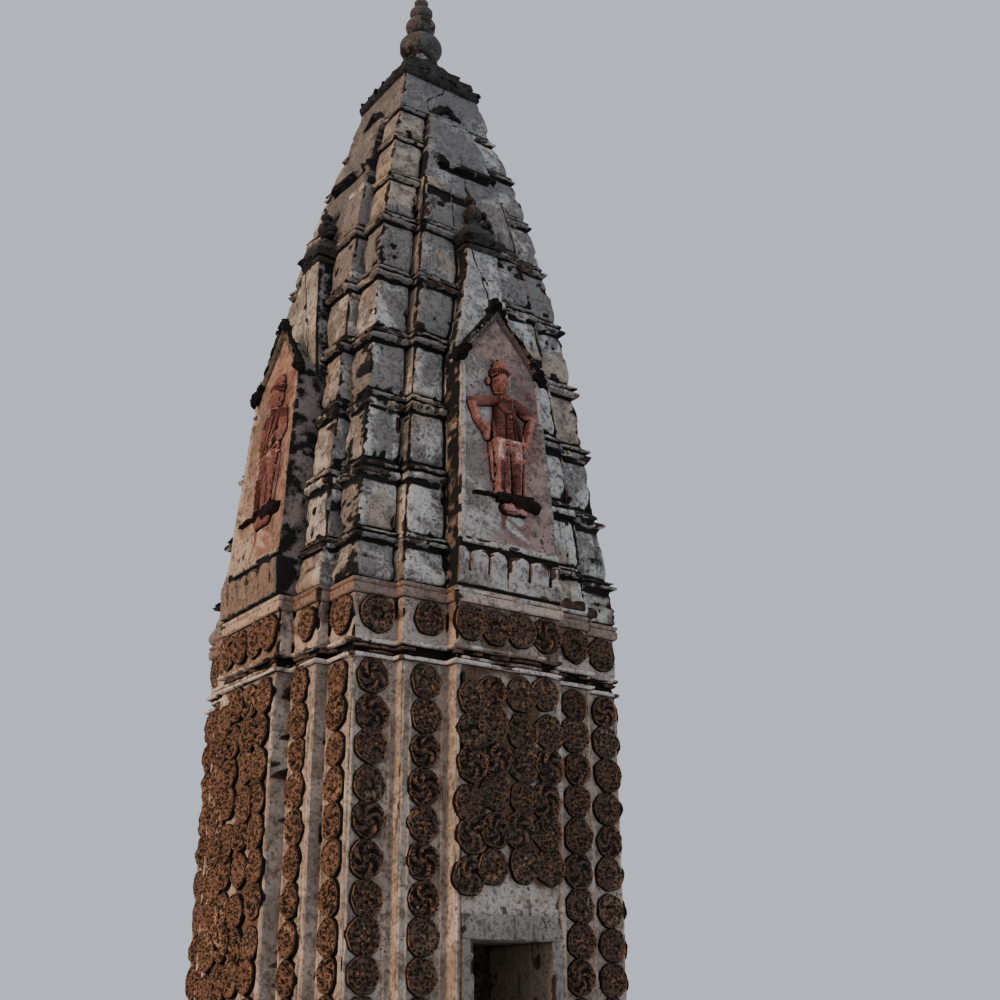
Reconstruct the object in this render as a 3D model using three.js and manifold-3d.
// A small Hindu temple: a square shrine of brick and lime plaster under a tall curved spire.
// Each of its four faces steps forward twice, from the corner ribs to the side ribs and the centre bay.
// Origin: centre of the footprint on the ground. +Z up, the door faces -Y, millimetres.

import * as THREE from 'three';
import { mergeVertices } from 'three/addons/utils/BufferGeometryUtils.js';
import Module from 'manifold-3d';

const wasm = await Module();
wasm.setup();

// Driving dimensions

const gap = 0.3; // open joint between pieces that touch
const shelf = 15; // height over which a moulding steps in or out

const plinthHeight = 450;
const plinthReach = 100;
const floorTop = 480;
const roomHalf = 750;
const ceilingUnderside = 3000;

const doorHalf = 360;
const doorHeight = 1700;
const jambWidth = 100;
const jambProud = 30;
const lintelHeight = 180;

const stepRise = 150;
const stepTread = 300;
const stepHalf = 620;

const cornerPlane = 1312; // distance of each wall plane from the axis
const sidePlane = 1417;
const bayPlane = 1552;
const cornerBreak = 932; // where the corner pilaster ends and the side pilaster starts
const bayBreak = 516;

const stringBottom = 4230;
const friezeBottom = 4392;
const corniceBottom = 4740;
const spireBottom = 4867;
const neckBottom = 10161;
const slabBottom = 10629;
const slabTop = 10778;
const roofTop = 11142;
const finialBottom = 11250;

const spireHalf = 1323; // half-width of the corner ribs at the foot of the spire
const spireDraw = 864; // how much of it is lost over spireRise
const spireRise = 5862;
const crownDraw = 754; // the quicker draw of the crown
const crownStart = 0.62; // share of spireRise where that sets in
const neckTopHalf = 445;
const cornerWidth = 375;
const cornerDepth = 200; // how far a rib stands out of the spire's core
const sideProud = 105;
const bandProud = 54;
const ribRoll = [[0, 10], [75, 45], [170, 4]]; // moulded foot of a rib: height and reach

const ledgeHalf = 300; // broken ledge on each face of the crown
const ledgeBottom = 9290;
const ledgeDepth = 55;
const ledgeReach = 885;
const crestHalf = 150; // little gabled crest on each face of the neck
const crestRise = 300;
const crestShoulder = 60;

// Moulded bands of the ribs, from the lowest up: height of the middle, and depth

const bands = [
  [5256, 110],
  [5864, 180],
  [6525, 180],
  [7200, 170],
  [7870, 160],
  [8523, 150],
  [9082, 130],
  [9641, 110],
  [10111, 100],
].map(([middle, depth]) => ({ bottom: middle - depth / 2, top: middle + depth / 2 }));
const sideBandCount = 7;
const sideTop = bands[sideBandCount - 1].top;

// The centre bay: a niche that leans back, and above its gable a narrow shaft with a cap

const petalTop = 5242;
const gableFoot = 7000;
const shaftBend = 7524;
const bayTop = 8118;
const bayLines = [
  { z: spireBottom, half: 520 },
  { z: petalTop, half: 505 },
  { z: gableFoot, half: 414 },
  { z: shaftBend, half: 286 },
  { z: bayTop, half: 178 },
  { z: slabBottom, half: 178 },
];
const nicheFoot = 1576; // distance of the niche's face from the axis
const nicheSlope = 0.0722;
const nicheApex = 7480;
const shaftLines = [
  { z: gableFoot, face: 1290 },
  { z: bayTop, face: 1190 },
];
const petalCount = 6;
const petalProud = 25;
const petalDepth = 120;
const capHeight = 122;
const capProud = 30;
const roofletTop = 8560;
const potAxis = 1012;
const bayPot = [[0, -160], [150, -160], [165, -90], [110, 0], [45, 80], [45, 130]].concat(
  [[78, 190], [70, 270], [30, 315], [54, 370], [24, 440], [0, 530]],
); // radius, and height over the rooflet

const gableLegs = [
  { outer: 480, top: 620, inner: 400, under: 520, depth: 85 },
  { outer: 410, top: 535, inner: 345, under: 440, depth: 55 },
];
const gableLift = 20;
const knobRadius = 55;
const scrollRadius = 62;
const scrollAt = 440;
const figureFoot = 5770;

// Stepped roof over the top slab: height over the slab's bottom, and half-width

const slabOverhang = 35;
const roofSteps = [[159, 400], [259, 395], [269, 310], [379, 300], [389, 230], [513, 190]];
const ringRadius = 200;

// Pots of the finial: height of the middle, radius, half-height, and the neck above it

const pots = [
  { middle: 11426, radius: 230, rise: 160, neck: [70, 11596] },
  { middle: 11712, radius: 165, rise: 112, neck: [50, 11826] },
  { middle: 11901, radius: 124, rise: 76, neck: [34, 11985] },
];
const bud = [[76, 12030], [52, 12090], [20, 12170], [0, 12276]];
const finialFoot = 150;
const finialFootHeight = 28;

// Materials

function plaster(color, roughness = 0.92) {
  return new THREE.MeshStandardMaterial({ color, roughness, metalness: 0 });
}

const materials = {
  base: plaster(0x8f8577),
  stone: plaster(0x7d7468),
  wall: plaster(0x7a5f4c),
  course: plaster(0xa2907f),
  spire: plaster(0x8b8680),
  moulding: plaster(0x5a5048),
  relief: plaster(0x8a4636, 0.8),
  finial: plaster(0x55483f, 0.85),
};

// Solids

function solidFrom(geometry) {
  const bare = geometry.clone();
  bare.deleteAttribute('normal');
  bare.deleteAttribute('uv');
  const merged = mergeVertices(bare, 1e-3);
  const corners = merged.index.array;
  const kept = [];
  for (let i = 0; i < corners.length; i += 3) {
    const [a, b, c] = [corners[i], corners[i + 1], corners[i + 2]];
    if (a !== b && b !== c && c !== a) kept.push(a, b, c);
  }
  const mesh = new wasm.Mesh({
    numProp: 3,
    vertProperties: new Float32Array(merged.attributes.position.array),
    triVerts: new Uint32Array(kept),
  });
  return new wasm.Manifold(mesh);
}

function geometryFrom(solid) {
  const mesh = solid.getMesh();
  const geometry = new THREE.BufferGeometry();
  geometry.setAttribute('position', new THREE.BufferAttribute(new Float32Array(mesh.vertProperties), 3));
  geometry.setIndex(new THREE.BufferAttribute(new Uint32Array(mesh.triVerts), 1));
  geometry.computeVertexNormals();
  return geometry;
}

function joined(...geometries) {
  return geometries.map(solidFrom).reduce((sum, next) => sum.add(next));
}

// A closed solid through a stack of outlines with the same number of points, anticlockwise from above

function loft(rings) {
  const count = rings[0].points.length;
  const positions = rings.flatMap(({ z, points }) => points.flatMap(([x, y]) => [x, y, z]));
  const indices = [];
  for (let r = 0; r < rings.length - 1; r++) {
    for (let i = 0; i < count; i++) {
      const a = r * count + i;
      const b = r * count + ((i + 1) % count);
      indices.push(a, b, b + count, a, b + count, a + count);
    }
  }
  const flat = (ring) => ring.points.map(([x, y]) => new THREE.Vector2(x, y));
  for (const [a, b, c] of THREE.ShapeUtils.triangulateShape(flat(rings[0]), [])) {
    indices.push(a, c, b);
  }
  const top = (rings.length - 1) * count;
  for (const [a, b, c] of THREE.ShapeUtils.triangulateShape(flat(rings.at(-1)), [])) {
    indices.push(top + a, top + b, top + c);
  }
  const geometry = new THREE.BufferGeometry();
  geometry.setAttribute('position', new THREE.Float32BufferAttribute(positions, 3));
  geometry.setIndex(indices);
  geometry.computeVertexNormals();
  return geometry;
}

function box(x0, x1, y0, y1, z0, z1) {
  const geometry = new THREE.BoxGeometry(x1 - x0, y1 - y0, z1 - z0);
  return geometry.translate((x0 + x1) / 2, (y0 + y1) / 2, (z0 + z1) / 2);
}

function square(half) {
  return [[-half, -half], [half, -half], [half, half], [-half, half]];
}

// The stepped plan of the shrine, grown outwards by a reach

function steppedPlan(reach = 0) {
  const corner = cornerPlane + reach;
  const side = sidePlane + reach;
  const bay = bayPlane + reach;
  const outer = cornerBreak + reach;
  const inner = bayBreak + reach;
  const front = [
    [-corner, -corner],
    [-outer, -corner],
    [-outer, -side],
    [-inner, -side],
    [-inner, -bay],
    [inner, -bay],
    [inner, -side],
    [outer, -side],
    [outer, -corner],
  ];
  const plan = [];
  for (let turn = 0; turn < 4; turn++) {
    const [c, s] = [[1, 0], [0, 1], [-1, 0], [0, -1]][turn];
    for (const [x, y] of front) plan.push([x * c - y * s, x * s + y * c]);
  }
  return plan;
}

function courses(profile) {
  return loft(profile.map(([z, reach]) => ({ z, points: steppedPlan(reach) })));
}

// The curve of the spire, straight between the tops of its bands

const stations = [spireBottom, ...bands.map((band) => band.top), slabBottom];

function curve(z) {
  const t = (z - spireBottom) / spireRise;
  const crown = crownDraw * Math.max(0, t - crownStart) ** 2;
  return {
    half: z < slabBottom ? spireHalf - spireDraw * (0.6 * t + 0.4 * t ** 3) - crown : neckTopHalf,
    width: cornerWidth - 80 * t ** 3,
    proud: sideProud - 30 * t,
  };
}

function blend(low, high, z) {
  const share = (z - low.z) / (high.z - low.z);
  const mixed = {};
  for (const key of Object.keys(low)) mixed[key] = low[key] + (high[key] - low[key]) * share;
  return mixed;
}

function along(lines, z) {
  const next = lines.findIndex((line, i) => i > 0 && z <= line.z + 1e-6);
  const i = next < 0 ? lines.length - 1 : next;
  return blend(lines[i - 1], lines[i], z);
}

const spireLines = stations.map((z) => ({ z, ...curve(z) }));

function spireAt(z) {
  const line = along(spireLines, z);
  return { ...line, core: line.half - cornerDepth, break: line.half - line.width };
}

function bayHalf(z) {
  return along(bayLines, z).half;
}

function nicheFace(z) {
  return nicheFoot - nicheSlope * Math.max(0, z - petalTop);
}

// Heights of a rib's rings, each with how far its mouldings stand out there

function ribLevels(bottom, top, bandCount) {
  const levels = ribRoll.map(([rise, reach]) => [bottom + rise, reach]);
  for (const band of bands.slice(0, bandCount)) {
    levels.push([band.bottom, 0], [band.bottom + shelf, bandProud]);
    levels.push([band.top - shelf, bandProud], [band.top, 0]);
  }
  for (const z of [petalTop, gableFoot, shaftBend, bayTop]) {
    if (z < top) levels.push([z, 0]);
  }
  levels.sort((a, b) => a[0] - b[0]);
  levels.at(-1)[0] = top;
  return levels.map(([z, out]) => ({ z, out: inBand(z) ? bandProud : out }));
}

function inBand(z) {
  return bands.some((band) => z > band.bottom + 1 && z < band.top - 1);
}

function cornerRib() {
  const rings = ribLevels(spireBottom + gap, neckBottom - gap, bands.length).map(({ z, out }) => {
    const at = spireAt(z);
    const face = at.half + out;
    const back = at.core + gap;
    const points = [
      [-face, -face],
      [-at.break, -face],
      [-at.break, -back],
      [-back, -back],
      [-back, -at.break],
      [-face, -at.break],
    ];
    return { z, points };
  });
  return loft(rings);
}

function sideRib(sign) {
  const rings = ribLevels(spireBottom + gap, sideTop - gap, sideBandCount).map(({ z, out }) => {
    const at = spireAt(z);
    const outer = at.break - gap;
    const inner = bayHalf(z) + gap;
    const face = at.half + at.proud + out;
    const back = at.core + gap;
    const points = [[-outer, -face], [-inner, -face], [-inner, -back], [-outer, -back]];
    return { z, points: sign < 0 ? points : points.map(([x, y]) => [-x, y]).reverse() };
  });
  return loft(rings);
}

// The masonry behind the ribs, with the crown's flat panels and the plain neck

function spireCore() {
  const heights = [spireBottom + gap, ...stations.slice(1, -2), neckBottom + gap];
  const core = loft(heights.map((z) => ({ z, points: square(spireAt(z).core) })));
  const crownHeights = [sideTop + gap, bands[7].bottom, bands[7].bottom + shelf, bands[7].top, neckBottom + gap];
  const crown = crownHeights.map((z) => {
    const at = spireAt(z);
    const lip = inBand(z) ? 20 : 0;
    return { z, x: at.break - gap, y: at.half + at.proud - 15 + lip };
  });
  const panels = [
    loft(crown.map(({ z, x, y }) => ({ z, points: [[-x, -y], [x, -y], [x, y], [-x, y]] }))),
    loft(crown.map(({ z, x, y }) => ({ z, points: [[-y, -x], [y, -x], [y, x], [-y, x]] }))),
  ];
  const neck = loft([neckBottom + gap, slabBottom - gap].map((z) => ({ z, points: square(spireAt(z).half) })));
  const trims = [];
  for (let turn = 0; turn < 4; turn++) {
    const inside = ledgeReach - cornerDepth;
    const ledge = box(-ledgeHalf, ledgeHalf, -ledgeReach, -inside, ledgeBottom, ledgeBottom + ledgeDepth);
    const crest = new THREE.Shape([
      new THREE.Vector2(-crestHalf, 0),
      new THREE.Vector2(crestHalf, 0),
      new THREE.Vector2(crestHalf, crestShoulder),
      new THREE.Vector2(0, crestRise),
      new THREE.Vector2(-crestHalf, crestShoulder),
    ]);
    const gablet = new THREE.ExtrudeGeometry(crest, { depth: crestHalf, bevelEnabled: false });
    gablet.rotateX(Math.PI / 2).translate(0, -neckTopHalf, neckBottom + gap);
    for (const trim of [ledge, gablet]) trims.push(trim.rotateZ((turn * Math.PI) / 2));
  }
  return geometryFrom(joined(core, ...panels, neck, ...trims));
}

// The centre bay: petals at its foot, a tapering body, a moulded cap and a little pot finial

function petal(x, width) {
  const shape = new THREE.Shape();
  const half = width / 2;
  const height = petalTop - spireBottom - 60;
  shape.moveTo(-half, 0);
  shape.lineTo(half, 0);
  shape.lineTo(half, height - half);
  shape.absarc(0, height - half, half, 0, Math.PI, false);
  const extrusion = { depth: petalDepth, bevelEnabled: false, curveSegments: 4 };
  const geometry = new THREE.ExtrudeGeometry(shape, extrusion).rotateX(Math.PI / 2);
  return geometry.translate(x, -(nicheFoot + petalProud - petalDepth), spireBottom + 30);
}

function bayFinial() {
  const points = bayPot.map(([r, z]) => new THREE.Vector2(r, roofletTop + z));
  const pot = new THREE.LatheGeometry(points, 9);
  return pot.rotateX(Math.PI / 2).translate(0, -potAxis, 0);
}

function centreBay() {
  const plan = (half, face, back) => [[-half, -face], [half, -face], [half, -back], [-half, -back]];
  const bends = [...stations, petalTop, gableFoot, shaftBend].sort((a, b) => a - b);
  const between = (low, high) => [low, ...bends.filter((z) => z > low && z < high), high];
  const back = (z) => spireAt(z).core + gap;
  const niche = between(spireBottom + gap, gableFoot).map((z) => {
    return { z, points: plan(bayHalf(z), nicheFace(z), back(z)) };
  });
  const gabled = [[gableFoot - 10, 405], [nicheApex, 8]].map(([z, half]) => {
    return { z, points: plan(half, nicheFace(z), 1150) };
  });
  const shaft = between(gableFoot - 10, bayTop).map((z) => {
    return { z, points: plan(bayHalf(z), along(shaftLines, z).face, back(z)) };
  });
  const cap = [
    [bayTop - 20, 0],
    [bayTop, capProud * 0.6],
    [bayTop + 45, capProud * 0.6],
    [bayTop + 55, capProud],
    [bayTop + capHeight, capProud],
    [bayTop + capHeight + 30, 0],
  ].map(([z, out]) => {
    const behind = spireAt(z).half + spireAt(z).proud + bandProud + 6;
    return { z, points: plan(bayHalf(bayTop) + out, along(shaftLines, bayTop).face + out, behind) };
  });
  const rooflet = [
    [bayTop + capHeight, 176, 1205],
    [bayTop + capHeight + 90, 170, 1180],
    [roofletTop - 90, 150, 1100],
    [roofletTop, 110, 1050],
  ].map(([z, half, face]) => ({ z, points: plan(half, face, spireAt(z).half) }));
  const infill = between(bayTop - 30, sideTop - gap).map((z) => {
    const at = spireAt(z);
    return { z, points: plan(bayHalf(bayTop) - 1, at.half + at.proud - 6, at.core + gap) };
  });
  const pitch = (2 * bayHalf(spireBottom) - 30) / petalCount;
  const petals = [];
  for (let i = 0; i < petalCount; i++) petals.push(petal((i - (petalCount - 1) / 2) * pitch, pitch - 14));
  const masonry = [niche, gabled, shaft, cap, rooflet, infill].map(loft);
  return geometryFrom(joined(...masonry, bayFinial(), ...petals));
}

// The pointed gable over the niche, made upright: two raking mouldings with scrolled feet

function rakes({ outer, top, inner, under, depth }) {
  const shape = new THREE.Shape([
    new THREE.Vector2(-outer, 0),
    new THREE.Vector2(-inner, 0),
    new THREE.Vector2(0, under),
    new THREE.Vector2(inner, 0),
    new THREE.Vector2(outer, 0),
    new THREE.Vector2(0, top),
  ]);
  return new THREE.ExtrudeGeometry(shape, { depth, bevelEnabled: false }).translate(0, gableLift, 0);
}

function gable() {
  const knob = new THREE.SphereGeometry(knobRadius, 10, 6).translate(0, gableLegs[0].top + gableLift, 60);
  const feet = [-1, 1].map((side) => {
    const scroll = new THREE.CylinderGeometry(scrollRadius, scrollRadius, 100, 12).rotateX(Math.PI / 2);
    return scroll.translate(side * scrollAt, scrollRadius, 50);
  });
  return trimmed(joined(...gableLegs.map(rakes), knob, ...feet));
}

// Only what stands in front of the upright's back plane

function trimmed(solid) {
  return geometryFrom(solid.intersect(solidFrom(box(-700, 700, -200, 1400, gap, 400))));
}

// A standing figure in low relief, made upright and leaned back with the bay's face

function limb(from, to, radius, thickness = radius) {
  const a = new THREE.Vector3(...from);
  const b = new THREE.Vector3(...to);
  const length = a.distanceTo(b);
  const geometry = new THREE.SphereGeometry(1, 7, 5);
  geometry.scale(radius, length / 2 + radius * 0.6, thickness);
  const turn = new THREE.Quaternion().setFromUnitVectors(
    new THREE.Vector3(0, 1, 0),
    b.clone().sub(a).normalize(),
  );
  geometry.applyQuaternion(turn);
  const middle = a.add(b).multiplyScalar(0.5);
  return geometry.translate(middle.x, middle.y, middle.z);
}

function figure(armsOut) {
  const torso = [
    limb([0, 640, 30], [0, 850, 30], 115, 75),
    limb([-110, 865, 30], [110, 865, 30], 52, 55),
    limb([0, 890, 30], [0, 930, 35], 40),
    limb([0, 470, 30], [0, 620, 30], 140, 85),
    limb([-70, 60, 25], [-55, 520, 30], 75, 70),
    limb([70, 60, 25], [55, 520, 30], 75, 70),
  ];
  const head = [
    limb([0, 940, 40], [0, 1030, 40], 66, 70),
    limb([0, 1060, 35], [0, 1150, 35], 48, 50),
  ];
  const reach = armsOut ? 300 : 190;
  const arms = [
    limb([-120, 870, 30], [-reach, 850, 35], 42),
    limb([-reach, 850, 35], [-reach + 90, 650, 35], 36),
    limb([120, 860, 30], [250, 690, 35], 42),
    limb([250, 690, 35], [150, 540, 40], 36),
  ];
  const ledge = box(-370, 370, -50, 10, -20, 70);
  const stand = box(-130, 130, 0, 60, -20, 80);
  return trimmed(joined(...torso, ...head, ...arms, stand, ledge));
}

function leanOnNiche(mesh, z) {
  mesh.rotation.x = Math.PI / 2 - Math.atan(nicheSlope);
  mesh.position.set(0, -nicheFace(z), z);
}

// The walls: the stepped mass, hollowed for the room and the doorway, cut into its pieces

function walls() {
  const mass = solidFrom(courses([[plinthHeight + gap, 0], [stringBottom - gap, 0]]));
  const high = 10000;
  const room = solidFrom(box(-roomHalf, roomHalf, -roomHalf, roomHalf, 0, high));
  const hollow = mass.subtract(room);
  const cut = (...sides) => geometryFrom(hollow.intersect(solidFrom(box(...sides))));
  const reveal = doorHalf + jambWidth;
  const doorTop = floorTop + doorHeight + lintelHeight;
  return {
    front_wall_left: cut(-high, -reveal, -high, -roomHalf, 0, high),
    front_wall_right: cut(reveal, high, -high, -roomHalf, 0, high),
    front_wall_over_door: cut(-reveal + gap, reveal - gap, -high, -roomHalf, doorTop + gap, high),
    back_wall: cut(-high, high, roomHalf, high, 0, high),
    left_wall: cut(-high, -roomHalf, -roomHalf + gap, roomHalf - gap, 0, high),
    right_wall: cut(roomHalf, high, -roomHalf + gap, roomHalf - gap, 0, high),
  };
}

function jamb(sign) {
  const near = sign * doorHalf;
  const far = sign * (doorHalf + jambWidth - gap);
  const [x0, x1] = [Math.min(near, far), Math.max(near, far)];
  const back = -roomHalf;
  const front = -(bayPlane + jambProud);
  return box(x0, x1, front, back, floorTop + gap, floorTop + doorHeight);
}

// The top slab, its stepped roof and the pots of the finial

function topSlab() {
  const profile = [
    [slabBottom, neckTopHalf],
    [slabBottom + shelf, neckTopHalf + slabOverhang],
    [slabBottom + 90, neckTopHalf + slabOverhang],
    [slabTop, neckTopHalf],
    ...roofSteps.map(([rise, half]) => [slabBottom + rise, half]),
  ];
  const roof = loft(profile.map(([z, half]) => ({ z, points: square(half) })));
  const ringTop = finialBottom - gap;
  const ringBottom = roofTop - 40;
  const ring = new THREE.CylinderGeometry(ringRadius, ringRadius, ringTop - ringBottom, 16);
  ring.rotateX(Math.PI / 2).translate(0, 0, (ringTop + ringBottom) / 2);
  return geometryFrom(joined(roof, ring));
}

function pot({ middle, radius, rise, neck }) {
  const points = [];
  for (const degrees of [-62, -35, -5, 25, 55, 70]) {
    const angle = THREE.MathUtils.degToRad(degrees);
    points.push([radius * Math.cos(angle), middle + rise * Math.sin(angle)]);
  }
  return [...points, neck];
}

function finial() {
  const foot = [[0, 0], [finialFoot, 0], [finialFoot, finialFootHeight]];
  const profile = [...foot.map(([r, rise]) => [r, finialBottom + rise]), ...pots.flatMap(pot), ...bud];
  const points = profile.map(([r, z]) => new THREE.Vector2(r, z));
  return new THREE.LatheGeometry(points, 14).rotateX(Math.PI / 2);
}

// The temple, from the ground up

const temple = new THREE.Group();

function place(parent, name, geometry, material) {
  const mesh = new THREE.Mesh(geometry, material);
  mesh.name = name;
  parent.add(mesh);
  return mesh;
}

const frontEdge = bayPlane + plinthReach;

place(
  temple,
  'plinth',
  courses([[0, plinthReach], [330, plinthReach], [360, 60], [plinthHeight, 60]]),
  materials.base,
);
const treads = { step_lower: [1, 2], step_upper: [2, 1] };
for (const [name, [rises, outward]] of Object.entries(treads)) {
  const near = -frontEdge - gap - stepTread * (outward - 1) - (outward - 1) * gap;
  const tread = box(-stepHalf, stepHalf, near - stepTread, near, 0, rises * stepRise);
  place(temple, name, tread, materials.stone);
}

const paved = roomHalf - gap;
const floorSlab = box(-paved, paved, -paved, paved, plinthHeight + gap, floorTop);
place(temple, 'sanctum_floor', floorSlab, materials.stone);
const sill = doorHalf + jambWidth - gap;
const sillFront = -(bayPlane + jambProud + 20);
const threshold = box(-sill, sill, sillFront, -roomHalf, plinthHeight + gap, floorTop);
place(temple, 'door_threshold', threshold, materials.stone);
place(temple, 'door_jamb_left', jamb(-1), materials.stone);
place(temple, 'door_jamb_right', jamb(1), materials.stone);
const lintelBottom = floorTop + doorHeight + gap;
const lintel = box(-sill, sill, -(bayPlane + jambProud), -roomHalf, lintelBottom, lintelBottom + lintelHeight - gap);
place(temple, 'door_lintel', lintel, materials.stone);

for (const [name, geometry] of Object.entries(walls())) place(temple, name, geometry, materials.wall);
const ceiling = box(-paved, paved, -paved, paved, ceilingUnderside, stringBottom - gap);
place(temple, 'sanctum_ceiling', ceiling, materials.stone);

const stringProfile = [
  [stringBottom, 38],
  [stringBottom + 60, 38],
  [stringBottom + 70, 18],
  [stringBottom + 120, 18],
  [stringBottom + 130, 34],
  [friezeBottom - gap, 34],
];
place(temple, 'string_course', courses(stringProfile), materials.course);
place(temple, 'frieze', courses([[friezeBottom, 0], [corniceBottom - gap, 0]]), materials.wall);
const corniceProfile = [
  [corniceBottom, 10],
  [corniceBottom + shelf, 28],
  [spireBottom - shelf, 28],
  [spireBottom, 18],
];
place(temple, 'cornice', courses(corniceProfile), materials.course);

place(temple, 'spire_core', spireCore(), materials.spire);

const faces = ['front', 'right', 'back', 'left'];
const corners = ['front_left', 'front_right', 'back_right', 'back_left'];
faces.forEach((face, turn) => {
  const side = new THREE.Group();
  side.rotation.z = (turn * Math.PI) / 2;
  temple.add(side);
  place(side, `corner_rib_${corners[turn]}`, cornerRib(), materials.spire);
  place(side, `side_rib_${face}_left`, sideRib(-1), materials.spire);
  place(side, `side_rib_${face}_right`, sideRib(1), materials.spire);
  place(side, `centre_bay_${face}`, centreBay(), materials.spire);
  leanOnNiche(place(side, `gable_${face}`, gable(), materials.moulding), gableFoot);
  leanOnNiche(place(side, `relief_figure_${face}`, figure(turn % 2 === 0), materials.relief), figureFoot);
});

place(temple, 'top_slab', topSlab(), materials.moulding);
place(temple, 'finial', finial(), materials.finial);

export default temple;
